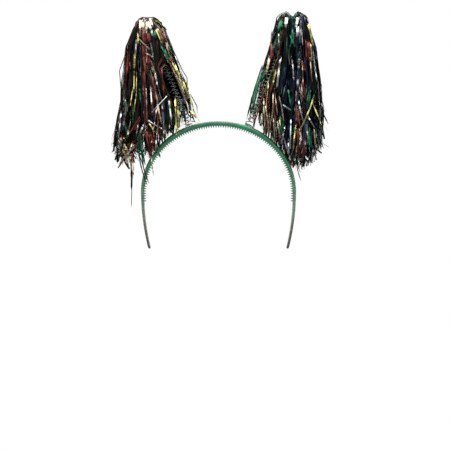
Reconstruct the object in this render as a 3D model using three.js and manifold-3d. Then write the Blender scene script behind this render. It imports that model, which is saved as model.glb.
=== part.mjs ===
// Pompom headband: a toothed plastic band with a foil-strip pompom on a coil spring at each side.
// Millimetres, +Z up, -Y towards the viewer who faces the wearer, +X to that viewer's right.
// The origin is the middle of the band's inner face at the crown, where the band sits on a head.
import * as THREE from "three";
import { mergeVertices } from "three/addons/utils/BufferGeometryUtils.js";
import Module from "manifold-3d";

const wasm = await Module();
wasm.setup();

// Driving dimensions of the band, an arch of half an ellipse on two legs that curve inwards.
const BAND = {
  halfWidth: 78.5, // outside, at the widest level, if the band were as thick there as at the crown
  rise: 72, // outside, from the widest level up to the crown
  legDrop: 56, // from the widest level down to the tips
  legTuck: 7, // how far a tip comes in from the widest place
  thickness: 5.3, // at the crown
  width: 9, // front to back, at the crown
  tipThickness: 2.8,
  tipWidth: 6,
  taper: 150, // length over which a leg narrows to its tip
  edgePower: 0.6, // how boxy the section is, from 0 for square edges to 1 for an ellipse
  steps: 42,
  sides: 10,
};
// Rounding of the band's tips: share of the section by distance from the end.
const TIP_ROUNDING = [
  { from: 0, scale: 0.5 },
  { from: 0.9, scale: 0.86 },
  { from: 2.4, scale: 1 },
];

// Comb teeth along the band's inner face. The lower part of each leg is bare.
const TOOTH = {
  pitch: 2.5,
  length: 1.8,
  rootWidth: 1.5,
  rootDepth: 0.8, // how far a tooth's root lies inside the band
  across: 3.5, // front to back
  bareLeg: 48,
};

// Coil springs that stand on the band and carry the pompoms.
const SPRING = {
  footX: 29.5, // distance of each foot from the middle of the band
  wireRadius: 0.45,
  coilRadius: 2.7, // to the middle of the wire
  footRadius: 3.7, // widest turn, at the band
  footReach: 9, // height over which the turns narrow
  turns: 28,
  openingTurns: 0.6, // over which the wire leaves the axis, at the band
  narrowingTurns: 1.5, // over which the foot narrows, after its first turn
  closingTurns: 0.7, // over which the wire comes back to the axis, at the top
  legDepth: 2.8, // straight end of the wire, in the band
  gap: 0.4, // clear space kept to the neighbouring pieces
  stepsPerTurn: 7,
  sides: 5,
  holeSides: 10,
};

// Foil locks along their way from crest to tip. Spread is a lock's share of the room to its neighbours.
const LOCK_SECTIONS = [
  { along: 0, spread: 0.95, halfThickness: 1 },
  { along: 0.04, spread: 0.92, halfThickness: 1.1 },
  { along: 0.12, spread: 0.88, halfThickness: 1.2 },
  { along: 0.3, spread: 0.88, halfThickness: 1.3 },
  { along: 0.6, spread: 0.88, halfThickness: 1.3 },
  { along: 0.86, spread: 0.66, halfThickness: 1.1 },
  { along: 1, spread: 0.2, halfThickness: 0.6 },
];
// Rings of locks: how far out in the pompom's outline they lie, and how much shorter they hang.
const LOCK_RINGS = [
  { count: 16, fill: 1, lift: 0 },
  { count: 7, fill: 0.62, lift: 5 },
];
const LOCK = {
  raggedness: 10, // spread of the ends
  raggedStep: 0.618034, // share of that spread from one lock to the next
  widest: 5.5, // half the width of the widest lock
  lean: 2, // levels this far above and below give a lock's direction
  sides: 4,
};
// Round head inside a pompom's crest. Its crown stands a little above the locks.
const HEAD = { radius: 7, crown: 1.5, sides: 10, bands: 7 };

// Outline of each pompom by level: its reach towards the middle and outwards, and its front and back in Y.
// The hem gives the level where locks end by reach. Nearer than its first row they end at the band.
const POMPOM_LEFT = {
  side: -1,
  tieX: -69,
  tieY: -12,
  rows: [
    { level: 105, inner: 64, outer: 74, front: -17, back: -7 },
    { level: 102.5, inner: 59, outer: 79, front: -22, back: -2 },
    { level: 95, inner: 54, outer: 84, front: -28, back: 4 },
    { level: 77, inner: 46.5, outer: 91, front: -34, back: 9 },
    { level: 50, inner: 37, outer: 94, front: -39, back: 14 },
    { level: 18, inner: 23, outer: 97, front: -43, back: 18 },
    { level: -12, inner: 20, outer: 103, front: -46, back: 20 },
    { level: -45, inner: 22, outer: 104, front: -46, back: 20 },
  ],
  hem: [
    { reach: 61, level: -41 },
    { reach: 88, level: -44 },
    { reach: 98, level: -40 },
    { reach: 104, level: -33 },
  ],
};
const POMPOM_RIGHT = {
  side: 1,
  tieX: 74.5,
  tieY: 16,
  rows: [
    { level: 113, inner: 70, outer: 80, front: 11, back: 21 },
    { level: 109.5, inner: 63, outer: 87, front: 4, back: 28 },
    { level: 99, inner: 57, outer: 93, front: -2, back: 34 },
    { level: 80, inner: 51, outer: 98, front: -8, back: 39 },
    { level: 50, inner: 42, outer: 102.5, front: -13, back: 44 },
    { level: 18, inner: 31, outer: 106, front: -16, back: 47 },
    { level: -12, inner: 26, outer: 106, front: -18, back: 49 },
    { level: -45, inner: 28, outer: 99, front: -16, back: 48 },
  ],
  hem: [
    { reach: 69, level: -38 },
    { reach: 85, level: -44 },
    { reach: 95, level: -38 },
    { reach: 106, level: -16 },
  ],
};

const PLASTIC = new THREE.MeshStandardMaterial({ color: 0x1f7a52, roughness: 0.35, metalness: 0 });
const WIRE = new THREE.MeshStandardMaterial({ color: 0xc9ccce, roughness: 0.25, metalness: 1 });
const FOIL = new THREE.MeshStandardMaterial({ color: 0x5a3a35, roughness: 0.25, metalness: 0.9 });

const { clamp, lerp, smoothstep } = THREE.MathUtils;
const BACKWARD = new THREE.Vector3(0, 1, 0);

// Closed geometry through rings of points, each ring anticlockwise about the way from first to last.
function loft(rings) {
  const sides = rings[0].length;
  const index = [];
  for (let k = 0; k + 1 < rings.length; k++) {
    for (let j = 0; j < sides; j++) {
      const a = k * sides + j;
      const b = k * sides + ((j + 1) % sides);
      index.push(a, b, b + sides, a, b + sides, a + sides);
    }
  }
  const last = (rings.length - 1) * sides;
  for (let j = 1; j + 1 < sides; j++) {
    index.push(0, j + 1, j, last, last + j, last + j + 1);
  }
  return new THREE.BufferGeometry().setFromPoints(rings.flat()).setIndex(index);
}

// Ring of a rounded section about centre: across and up are its half axes, and power 1 makes it an ellipse.
function ring(centre, across, up, sides, power = 1) {
  const rounded = (v) => Math.sign(v) * Math.abs(v) ** power;
  return Array.from({ length: sides }, (_, j) => {
    const angle = (2 * Math.PI * (j + 0.5)) / sides;
    return centre
      .clone()
      .addScaledVector(across, rounded(Math.cos(angle)))
      .addScaledVector(up, rounded(Math.sin(angle)));
  });
}

// Round wire along points, its section carried along without twisting.
function wire(points, radius, sides) {
  let across = new THREE.Vector3(0, 1, 0);
  const rings = points.map((p, i) => {
    const before = points[Math.max(i - 1, 0)];
    const after = points[Math.min(i + 1, points.length - 1)];
    const along = after.clone().sub(before).normalize();
    across = across.clone().addScaledVector(along, -across.dot(along)).normalize();
    const up = along.clone().cross(across);
    return ring(p, across.clone().multiplyScalar(radius), up.multiplyScalar(radius), sides);
  });
  return loft(rings);
}

// Geometry to solid and back, for joining and cutting.
function toSolid(geometry) {
  const bare = new THREE.BufferGeometry();
  bare.setAttribute("position", geometry.getAttribute("position"));
  bare.setIndex(geometry.index);
  const merged = mergeVertices(bare, 1e-4);
  return new wasm.Manifold(
    new wasm.Mesh({
      numProp: 3,
      vertProperties: new Float32Array(merged.getAttribute("position").array),
      triVerts: new Uint32Array(merged.index.array),
    }),
  );
}

function toGeometry(solid) {
  const mesh = solid.getMesh();
  const geometry = new THREE.BufferGeometry();
  geometry.setAttribute("position", new THREE.BufferAttribute(mesh.vertProperties, 3));
  geometry.setIndex(new THREE.BufferAttribute(mesh.triVerts, 1));
  geometry.computeVertexNormals();
  return geometry;
}

// Middle line of the band in the XZ plane, from the left tip over the crown to the right tip.
function bandLine() {
  const a = BAND.halfWidth - BAND.thickness / 2;
  const b = BAND.rise - BAND.thickness / 2;
  const level = BAND.thickness / 2 - b;
  const legRadius = (BAND.legDrop ** 2 + BAND.legTuck ** 2) / (2 * BAND.legTuck);
  const turn = Math.asin(BAND.legDrop / legRadius);
  const line = new THREE.CurvePath();
  line.add(new THREE.EllipseCurve(legRadius - a, level, legRadius, legRadius, Math.PI + turn, Math.PI, true));
  line.add(new THREE.EllipseCurve(0, level, a, b, Math.PI, 0, true));
  line.add(new THREE.EllipseCurve(a - legRadius, level, legRadius, legRadius, 0, -turn, true));
  return line;
}

const LINE = bandLine();
const LINE_LENGTH = LINE.getLength();

// Point, direction and outward normal of the band's middle line at a distance from the left tip.
function bandFrame(distance) {
  const share = distance / LINE_LENGTH;
  const p = LINE.getPointAt(share);
  const t = LINE.getTangentAt(share);
  return {
    point: new THREE.Vector3(p.x, 0, p.y),
    along: new THREE.Vector3(t.x, 0, t.y),
    out: new THREE.Vector3(-t.y, 0, t.x),
  };
}

// Level of the band's outer face at a distance from the middle.
function bandTop(x) {
  const share = Math.min(Math.abs(x) / BAND.halfWidth, 1);
  return BAND.thickness - BAND.rise * (1 - Math.sqrt(1 - share ** 2));
}

// Half the band's thickness and width at a distance from the left tip.
function bandHalves(distance) {
  const full = smoothstep(Math.min(distance, LINE_LENGTH - distance), 0, BAND.taper);
  return {
    halfThickness: lerp(BAND.tipThickness, BAND.thickness, full) / 2,
    halfWidth: lerp(BAND.tipWidth, BAND.width, full) / 2,
  };
}

// Rounded strip that narrows to its tips. Extra thickness and width make the room kept around it.
function bandStrip(extra = 0) {
  const clear = TIP_ROUNDING.at(-1).from;
  const run = LINE_LENGTH - 2 * clear;
  const stations = [
    ...TIP_ROUNDING.map(({ from, scale }) => ({ at: from, scale })),
    ...Array.from({ length: BAND.steps - 1 }, (_, i) => ({
      at: clear + (run * (i + 1)) / BAND.steps,
      scale: 1,
    })),
    ...TIP_ROUNDING.toReversed().map(({ from, scale }) => ({ at: LINE_LENGTH - from, scale })),
  ];
  const rings = stations.map(({ at, scale }) => {
    const { point, out } = bandFrame(at);
    const { halfThickness, halfWidth } = bandHalves(at);
    const across = BACKWARD.clone().multiplyScalar(-halfWidth * scale - extra);
    return ring(point, out.multiplyScalar(halfThickness * scale + extra), across, BAND.sides, BAND.edgePower);
  });
  return toSolid(loft(rings));
}

// One comb tooth, a wedge that grows inwards out of the band at a distance from the left tip.
function tooth(distance) {
  const face = bandHalves(distance).halfThickness;
  const profile = new THREE.Shape([
    new THREE.Vector2(-TOOTH.rootWidth / 2, face - TOOTH.rootDepth),
    new THREE.Vector2(TOOTH.rootWidth / 2, face - TOOTH.rootDepth),
    new THREE.Vector2(0, face + TOOTH.length),
  ]);
  const wedge = new THREE.ExtrudeGeometry(profile, { depth: TOOTH.across, bevelEnabled: false });
  wedge.translate(0, 0, -TOOTH.across / 2);
  const { point, along, out } = bandFrame(distance);
  const inward = out.clone().negate();
  const place = new THREE.Matrix4().makeBasis(along, inward, along.clone().cross(inward));
  wedge.applyMatrix4(place.setPosition(point));
  return toSolid(wedge);
}

// Middle of the round head inside a pompom's crest.
function headCentre({ tieX, tieY, rows }) {
  return new THREE.Vector3(tieX, tieY, rows[0].level + HEAD.crown - HEAD.radius);
}

// Where a spring stands: its foot on the band, the direction of its axis, and its length to the head.
function springStand(pompom) {
  const foot = new THREE.Vector3(pompom.side * SPRING.footX, 0, bandTop(SPRING.footX));
  const axis = headCentre(pompom).sub(foot);
  const length = axis.length() - HEAD.radius - SPRING.gap;
  return { foot, axis: axis.normalize(), length };
}

// Radius of the room kept round a coil.
const SPRING_ROOM = SPRING.coilRadius + SPRING.wireRadius + SPRING.gap;

const springPoint = ({ foot, axis }, height) => foot.clone().addScaledVector(axis, height);

// Coil: a straight leg in the band, one flat turn on it, then turns of even pitch up to the pompom's head.
function springWire(pompom) {
  const stand = springStand(pompom);
  const sideways = new THREE.Vector3().crossVectors(BACKWARD, stand.axis).normalize();
  const backward = new THREE.Vector3().crossVectors(stand.axis, sideways);
  const seat = SPRING.wireRadius + SPRING.gap;
  const pitch = (stand.length - seat - SPRING.wireRadius) / (SPRING.turns - 1);
  const points = [springPoint(stand, -SPRING.legDepth), springPoint(stand, seat - SPRING.wireRadius)];
  const steps = SPRING.turns * SPRING.stepsPerTurn;
  for (let i = 1; i <= steps; i++) {
    const turn = i / SPRING.stepsPerTurn;
    const narrowed = smoothstep(turn, 1, 1 + SPRING.narrowingTurns);
    const opened = smoothstep(turn, 0, SPRING.openingTurns);
    const closed = smoothstep(turn, SPRING.turns - SPRING.closingTurns, SPRING.turns);
    const radius = lerp(SPRING.footRadius, SPRING.coilRadius, narrowed) * (opened - closed);
    const height = seat + pitch * Math.max(turn - 1, 0);
    const angle = pompom.side * 2 * Math.PI * turn;
    points.push(
      springPoint(stand, height)
        .addScaledVector(sideways, radius * Math.cos(angle))
        .addScaledVector(backward, radius * Math.sin(angle)),
    );
  }
  return toSolid(wire(points, SPRING.wireRadius, SPRING.sides));
}

// Round rod along a spring's axis, for its hole in the band and the room around its coil.
function axisRod(pompom, from, to, radius) {
  const stand = springStand(pompom);
  return toSolid(wire([springPoint(stand, from), springPoint(stand, to)], radius, SPRING.holeSides));
}

// A table's row at a value of one column, worked out in between its rows and held at its ends.
function rowAt(rows, column, value) {
  const way = Math.sign(rows.at(-1)[column] - rows[0][column]);
  const found = rows.findIndex((row) => way * (row[column] - value) >= 0);
  const next = found < 0 ? rows.length - 1 : Math.max(found, 1);
  const [before, after] = [rows[next - 1], rows[next]];
  const share = clamp((value - before[column]) / (after[column] - before[column]), 0, 1);
  const between = (name) => [name, lerp(before[name], after[name], share)];
  return Object.fromEntries(Object.keys(before).map(between));
}

// The pompom's outline at a level: centre and half axes.
function outlineAt({ side, rows }, level) {
  const { inner, outer, front, back } = rowAt(rows, "level", level);
  return {
    centre: new THREE.Vector3((side * (inner + outer)) / 2, (front + back) / 2, level),
    halfX: (outer - inner) / 2,
    halfY: (back - front) / 2,
  };
}

// Level where a lock ends: on the band near the middle, on the hem further out, ragged all round.
function lockEnd(pompom, angle, { fill, lift }, number) {
  const { hem, rows } = pompom;
  const { centre, halfX } = outlineAt(pompom, rows.at(-1).level);
  const reach = Math.abs(centre.x) + fill * halfX * Math.cos(angle);
  const lowest = reach < hem[0].reach ? bandTop(reach) : rowAt(hem, "reach", reach).level;
  const ragged = LOCK.raggedness * ((number * LOCK.raggedStep) % 1);
  return lowest + ragged + lift;
}

// Keeps a lock's section clear of the spring inside the pompom: across and up are its half sizes.
function besideSpring(stand, point, across, up) {
  const height = point.clone().sub(stand.foot).dot(stand.axis);
  const onAxis = springPoint(stand, height);
  const away = point.clone().sub(onAxis);
  const distance = away.length();
  away.normalize();
  const clear = SPRING_ROOM + Math.abs(away.dot(across)) + Math.abs(away.dot(up));
  return height > stand.length || distance > clear ? point : onAxis.addScaledVector(away, clear);
}

// One lock, from the crest of the pompom over its shoulder and down. A lock above the band ends on it.
function lock(pompom, angle, { count, fill }, end) {
  const crest = pompom.rows[0].level;
  const out = new THREE.Vector3(pompom.side * Math.cos(angle), Math.sin(angle), 0);
  const middle = (level, inset) => {
    const { centre, halfX, halfY } = outlineAt(pompom, level);
    centre.x += fill * (halfX - inset) * out.x;
    centre.y += fill * (halfY - inset) * out.y;
    return centre;
  };
  const overBand = (p) => Math.abs(p.y) < BAND.width / 2 + SPRING.gap + LOCK.widest;
  const landing = (p) => bandTop(p.x) + LOCK.widest;
  let tip = end;
  while (overBand(middle(tip, 0)) && tip < landing(middle(tip, 0))) tip += 1;
  const stand = springStand(pompom);
  const rings = LOCK_SECTIONS.map(({ along, spread, halfThickness }) => {
    const level = lerp(crest - halfThickness, tip, along);
    const { halfX, halfY } = outlineAt(pompom, level);
    const halfWidth = Math.min((spread * fill * Math.PI * (halfX + halfY)) / (2 * count), LOCK.widest);
    const way = middle(level - LOCK.lean, 0).sub(middle(level + LOCK.lean, 0)).normalize();
    const across = new THREE.Vector3().crossVectors(out, way).normalize();
    const up = new THREE.Vector3().crossVectors(way, across).multiplyScalar(halfThickness);
    across.multiplyScalar(halfWidth);
    const place = besideSpring(stand, middle(level, halfThickness), across, up);
    return ring(place, across, up, LOCK.sides, 0);
  });
  return toSolid(loft(rings));
}

// A pompom: a round head on the spring, with the locks grown out of it, clear of the spring and the band.
function pompomBody(pompom) {
  const head = new THREE.SphereGeometry(HEAD.radius, HEAD.sides, HEAD.bands);
  head.rotateX(Math.PI / 2).translate(...headCentre(pompom));
  const locks = LOCK_RINGS.flatMap((locksRing, ringNumber) =>
    Array.from({ length: locksRing.count }, (_, i) => {
      const angle = (2 * Math.PI * (i + 0.5 * ringNumber)) / locksRing.count;
      const end = lockEnd(pompom, angle, locksRing, i + locksRing.count * ringNumber);
      return lock(pompom, angle, locksRing, end);
    }),
  );
  const footRoom = SPRING.footRadius + SPRING.wireRadius + SPRING.gap;
  const { length } = springStand(pompom);
  return wasm.Manifold.union([toSolid(head), ...locks])
    .subtract(axisRod(pompom, -SPRING.legDepth, length + SPRING.gap, SPRING_ROOM))
    .subtract(axisRod(pompom, -SPRING.legDepth, SPRING.footReach, footRoom))
    .subtract(bandStrip(SPRING.gap));
}

// The band with its teeth, and a hole for each spring's leg.
function bandBody() {
  const spaces = Math.floor((LINE_LENGTH - 2 * TOOTH.bareLeg) / TOOTH.pitch);
  const first = (LINE_LENGTH - spaces * TOOTH.pitch) / 2;
  const teeth = Array.from({ length: spaces + 1 }, (_, i) => tooth(first + TOOTH.pitch * i));
  const holes = [POMPOM_LEFT, POMPOM_RIGHT].map((pompom) =>
    axisRod(pompom, -2 * BAND.thickness, BAND.thickness, SPRING.wireRadius + SPRING.gap),
  );
  return wasm.Manifold.union([bandStrip(), ...teeth]).subtract(wasm.Manifold.union(holes));
}

function part(name, solid, material) {
  const mesh = new THREE.Mesh(toGeometry(solid), material.clone());
  mesh.name = name;
  return mesh;
}

const headband = new THREE.Group();
headband.add(part("headband", bandBody(), PLASTIC));
for (const [place, pompom] of Object.entries({ left: POMPOM_LEFT, right: POMPOM_RIGHT })) {
  headband.add(part(`spring_${place}`, springWire(pompom), WIRE));
  headband.add(part(`pompom_${place}`, pompomBody(pompom), FOIL));
}

export default headband;
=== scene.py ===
"""Looks of a pompom headband: a toothed plastic band, two coil springs and two pompoms of foil strips."""
import math
from collections import namedtuple
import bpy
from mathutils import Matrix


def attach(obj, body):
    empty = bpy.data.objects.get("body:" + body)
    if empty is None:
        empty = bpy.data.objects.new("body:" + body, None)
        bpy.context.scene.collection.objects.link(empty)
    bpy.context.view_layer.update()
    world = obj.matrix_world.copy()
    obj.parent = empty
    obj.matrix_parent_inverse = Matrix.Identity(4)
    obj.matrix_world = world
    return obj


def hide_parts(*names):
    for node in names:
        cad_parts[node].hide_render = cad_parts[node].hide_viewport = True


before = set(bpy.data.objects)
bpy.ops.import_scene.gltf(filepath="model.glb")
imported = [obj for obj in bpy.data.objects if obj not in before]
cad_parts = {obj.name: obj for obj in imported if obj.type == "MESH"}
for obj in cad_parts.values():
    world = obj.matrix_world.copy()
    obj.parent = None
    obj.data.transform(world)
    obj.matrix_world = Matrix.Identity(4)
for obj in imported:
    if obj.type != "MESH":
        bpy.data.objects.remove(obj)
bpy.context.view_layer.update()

from types import SimpleNamespace

import bpy
import numpy as np
from mathutils import Vector

# Sizes below are in millimetres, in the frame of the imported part. Meshes are made in metres.
MM = 0.001

# The viewer's eye, level and straight in front. One picture point is 1 mm wide in the plane of the band.
EYE = SimpleNamespace(x=6.5, distance=1200, z=-99.2, lens=96, sensor=36)

# The band: half an ellipse on two legs that curve inwards, with the part's sizes and a rounder section.
BAND = SimpleNamespace(
    half_width=78.5,
    rise=72,
    leg_drop=56,
    leg_tuck=7,
    thickness=5.3,
    width=9,
    tip_thickness=2.8,
    tip_width=6,
    taper=150,
    edge_power=0.85,  # from 0 for square edges to 1 for an ellipse
    leg_steps=400,
    arch_steps=1200,
    slope_reach=0.5,
    half_turn_sides=24,
    plain_from=4,  # sections of the legs below the teeth, by distance from the tip
    plain_step=2,
    sharp_degrees=38,
)
# Rounding of the band's tips: share of the section by distance from the end.
TIP_ROUNDING = [(0, 0.5), (0.3, 0.68), (0.9, 0.86), (1.6, 0.95), (2.4, 1)]
# Comb teeth. Foot and tip are a tooth's lengths along the band, and flat is the share of its breadth that
# stands at full length.
TOOTH = SimpleNamespace(pitch=2.5, length=1.8, foot=1.4, tip=0.6, across=3.5, flat=0.86, bare_leg=48)

# The springs, which stand on the band and carry the pompoms. Wire, coil and foot are radii. Opening,
# narrowing and closing are in turns.
SPRING = SimpleNamespace(
    foot_x=29.5,
    wire=0.45,
    coil=2.7,
    foot=3.7,
    turns=28,
    opening=0.6,
    narrowing=1.5,
    closing=0.7,
    leg=2.8,
    gap=0.4,
    steps=22,
    sides=8,
)
# The head that the strips are tied to. Its crown stands above the first row of the outline.
HEAD = SimpleNamespace(radius=7, crown=1.5)

# The tie that grips the folded strips on top of the spring, by height from the head's middle.
Neck = namedtuple("Neck", "height radius")
TIE = [
    Neck(4.5, 1.2),
    Neck(4.0, 3.6),
    Neck(2.2, 5.2),
    Neck(-0.5, 5.6),
    Neck(-3.5, 4.8),
    Neck(-5.5, 3.9),
    Neck(-7.5, 3.7),
    Neck(-10.5, 4.6),
]
TIE_FOLDS = SimpleNamespace(count=14, depth=0.08)

# Outline of each pompom by level: reach towards the middle and outwards, front and back.
Row = namedtuple("Row", "level inner outer front back")
# Where strips end, by distance from the headband's middle. Nearer than the first row they end at the band.
Hem = namedtuple("Hem", "reach level")
# Foils of the strips on the front, by share of the way across from the viewer's left.
Zone = namedtuple("Zone", "to foils")
# Strips that stand out. Faces is the direction they face, in degrees to the right of the viewer. Places are
# x and z in the plane of the band, as seen from the viewer's eye.
Strand = namedtuple("Strand", "foil count half_width faces places")


def strands(*rows):
    """Strands from rows that have their places last, one after the other."""
    return [Strand(foil, count, half, faces, places) for foil, count, half, faces, *places in rows]


LEFT_STRANDS = strands(
    # Crest
    ("copper", 1, 1.2, 0, (-78.3, 106), (-78.3, 91)),
    ("copper", 1, 1.2, 4, (-75.5, 104), (-73.8, 93)),
    ("copper", 1, 1.2, 0, (-71.5, 104), (-73.2, 94)),
    ("silver", 1, 1.4, 6, (-70, 104), (-67.3, 96)),
    ("copper", 2, 1.0, 0, (-68.5, 107.5), (-66, 101)),
    ("copper", 1, 0.7, 12, (-66, 104), (-61.5, 101), (-56, 95)),
    ("gold", 2, 0.8, 20, (-63, 105), (-58, 101)),
    ("mint", 1, 1.0, 4, (-66.5, 98), (-65, 92.5)),
    ("green", 1, 1.0, -18, (-64.5, 97), (-63.5, 90)),
    ("red", 2, 1.0, 14, (-58, 97), (-54, 85)),
    ("copper", 1, 0.8, 8, (-60.5, 96), (-56, 87)),
    ("gold", 1, 0.6, 20, (-61.5, 93), (-58, 85)),
    ("red", 4, 0.9, 19, (-72.5, 93), (-72, 84)),
    ("gold", 1, 0.8, 18, (-80.5, 91), (-80.5, 84)),
    # Upper half
    ("copper", 1, 0.65, -4, (-79, 86.5), (-74.5, 82), (-70, 78)),
    ("silver", 1, 0.95, -27, (-83.3, 85), (-84.2, 72)),
    ("gold", 1, 0.9, -20, (-84, 70), (-84.5, 60)),
    ("copper", 1, 0.6, 10, (-72, 72), (-68.5, 70)),
    ("green", 2, 0.65, 24, (-55, 76), (-50.5, 67)),
    ("red", 2, 0.6, 24, (-49.5, 67), (-45, 56)),
    ("copper", 1, 0.35, 26, (-48, 65), (-46.5, 58)),
    ("red", 1, 0.65, 24, (-89, 62), (-88.5, 57)),
    ("red", 2, 0.6, 20, (-71, 71), (-69.5, 60)),
    ("gold", 1, 0.45, -26, (-85, 51), (-85.5, 36)),
    ("gold", 1, 0.45, -24, (-82.5, 50), (-82.5, 34)),
    ("gold", 1, 0.45, -26, (-86.5, 36), (-88.5, 20)),
    ("gold", 1, 0.45, -26, (-82.5, 28), (-83.5, 15)),
    ("red", 2, 0.6, 22, (-74.5, 52), (-74, 26), (-73.5, 0)),
    ("copper", 1, 0.6, 24, (-72.5, 34), (-72, 10)),
    ("ink", 1, 0.7, 0, (-76.5, 48), (-76, 8)),
    ("red", 2, 0.6, 22, (-65, 44), (-64, 26)),
    ("red", 1, 0.75, 25, (-57, 52), (-56, 36)),
    ("silver", 1, 0.65, -27, (-67, 38), (-66.5, 23)),
    ("green", 1, 0.65, -22, (-78.5, 33), (-78, 26)),
    # Lower half
    ("green", 1, 0.9, -25, (-86.5, 20), (-86, 11)),
    ("mint", 1, 0.65, -27, (-93, 23), (-93, 14)),
    ("silver", 1, 0.35, -25, (-52.5, 29), (-65.5, 15)),
    ("copper", 1, 0.8, 26, (-60.5, 23), (-59, 16), (-57, 6)),
    ("mint", 1, 0.8, 25, (-49, 23), (-47, 8)),
    ("blue", 1, 1.05, 24, (-54.5, 19), (-53, 9)),
    ("blue", 1, 0.95, 24, (-64, 14), (-64, 4)),
    ("green", 1, 0.75, 20, (-55.5, 8), (-54.5, 1)),
    ("silver", 1, 0.9, 24, (-53.8, -4), (-53, -8)),
    ("silver", 1, 0.45, 20, (-67, 4), (-62.5, 1), (-57, -2)),
    ("gold", 1, 0.6, 24, (-67, 1), (-60, -9)),
    ("red", 1, 0.65, 26, (-60.5, 9), (-60.5, -4), (-62, -14)),
    ("red", 2, 0.75, -24, (-79, 7), (-87.5, -8)),
    ("silver", 1, 0.6, -26, (-80.5, 1), (-81.5, -8)),
    ("silver", 1, 0.75, 24, (-77, -3), (-78.5, -6)),
    ("blue", 1, 0.9, -24, (-95, 10), (-95, -2)),
    ("silver", 1, 0.35, -27, (-94, 6), (-94.5, 0)),
    ("green", 1, 0.8, -26, (-92.5, 1), (-91, -11)),
    ("red", 4, 0.75, 22, (-70.5, -7), (-67.5, -19), (-66.5, -30)),
    ("silver", 1, 0.5, 26, (-73.7, -10), (-73.7, -22)),
    ("silver", 1, 0.6, 27, (-62.5, -15), (-62.5, -27)),
    # Hem
    ("silver", 1, 0.6, -27, (-98, 6), (-100.5, -15)),
    ("copper", 2, 0.55, -22, (-101, -8), (-97.5, -19), (-94, -26)),
    ("red", 2, 0.6, -24, (-97, -8), (-94.5, -19)),
    ("copper", 1, 0.5, 24, (-94, -32), (-88.5, -25)),
    ("ink", 2, 0.6, 0, (-100, 8), (-103.5, -15)),
    ("silver", 1, 0.9, -24, (-99, -13), (-97, -16), (-98, -20)),
    ("silver", 1, 0.95, -20, (-98, -20), (-101.5, -22), (-103, -26)),
    ("ink", 1, 0.7, 0, (-102, -26), (-101.7, -38)),
    ("gold", 2, 0.6, -20, (-94.5, -16), (-95.5, -23)),
    ("gold", 1, 0.6, 20, (-92.5, -21), (-90.5, -28)),
    ("copper", 2, 0.65, -22, (-95, -22), (-92.5, -28), (-88.5, -34)),
    ("silver", 1, 0.65, 24, (-85.5, -22), (-90.5, -27)),
    ("copper", 3, 0.6, 22, (-87, -32), (-86, -42), (-86.5, -54)),
    ("ink", 1, 0.9, 0, (-86.5, -52), (-87, -64)),
    ("ink", 1, 0.35, 0, (-87, -62), (-87.5, -82)),
    ("red", 1, 0.6, 24, (-84.5, -31), (-83.5, -37)),
    ("green", 3, 0.8, 24, (-79, -12), (-77.5, -25), (-74.5, -42)),
    ("ink", 2, 0.5, 0, (-78.5, -36), (-75, -46), (-68.5, -60)),
    ("copper", 1, 0.5, 0, (-67, -36), (-65.5, -50)),
    # Inner edge and loose strips beside the body
    ("gold", 1, 0.45, 22, (-45, 60), (-38.5, 47), (-33, 37), (-30, 30), (-27, 20), (-23, 11), (-19, 4)),
    ("gold", 1, 0.6, 24, (-42, 56), (-38.5, 47)),
    ("gold", 1, 0.95, 25, (-33.5, 39), (-30.5, 32)),
    ("gold", 1, 0.9, 25, (-23.5, 10), (-20, 6)),
    ("copper", 1, 0.45, 24, (-25.5, 4.5), (-18.5, 3)),
    ("copper", 1, 0.6, 27, (-38.5, 47), (-34.5, 30)),
    ("blue", 1, 0.95, 25, (-36, 24), (-34, 9)),
    ("gold", 2, 0.8, 26, (-41.5, 19), (-41, 4), (-41, -9)),
    ("copper", 1, 0.5, 26, (-39, 9), (-40, 5)),
    ("ink", 1, 0.4, 0, (-87, 85), (-90.5, 75), (-98.5, 55), (-97.5, 35), (-96.5, 24)),
    ("ink", 1, 0.4, 0, (-43, 72), (-31, 48), (-32, 38)),
    # Pale ends at the hem
    ("silver", 1, 0.8, -24, (-98, -14), (-98.5, -20)),
    ("silver", 1, 0.7, -26, (-101.5, -22), (-102.5, -28)),
    ("copper", 2, 0.5, -24, (-95, -25), (-93.5, -34)),
    ("copper", 1, 0.6, -22, (-88, -23), (-90.5, -29)),
    ("silver", 1, 0.6, -20, (-81, -20), (-80, -28)),
)
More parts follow.
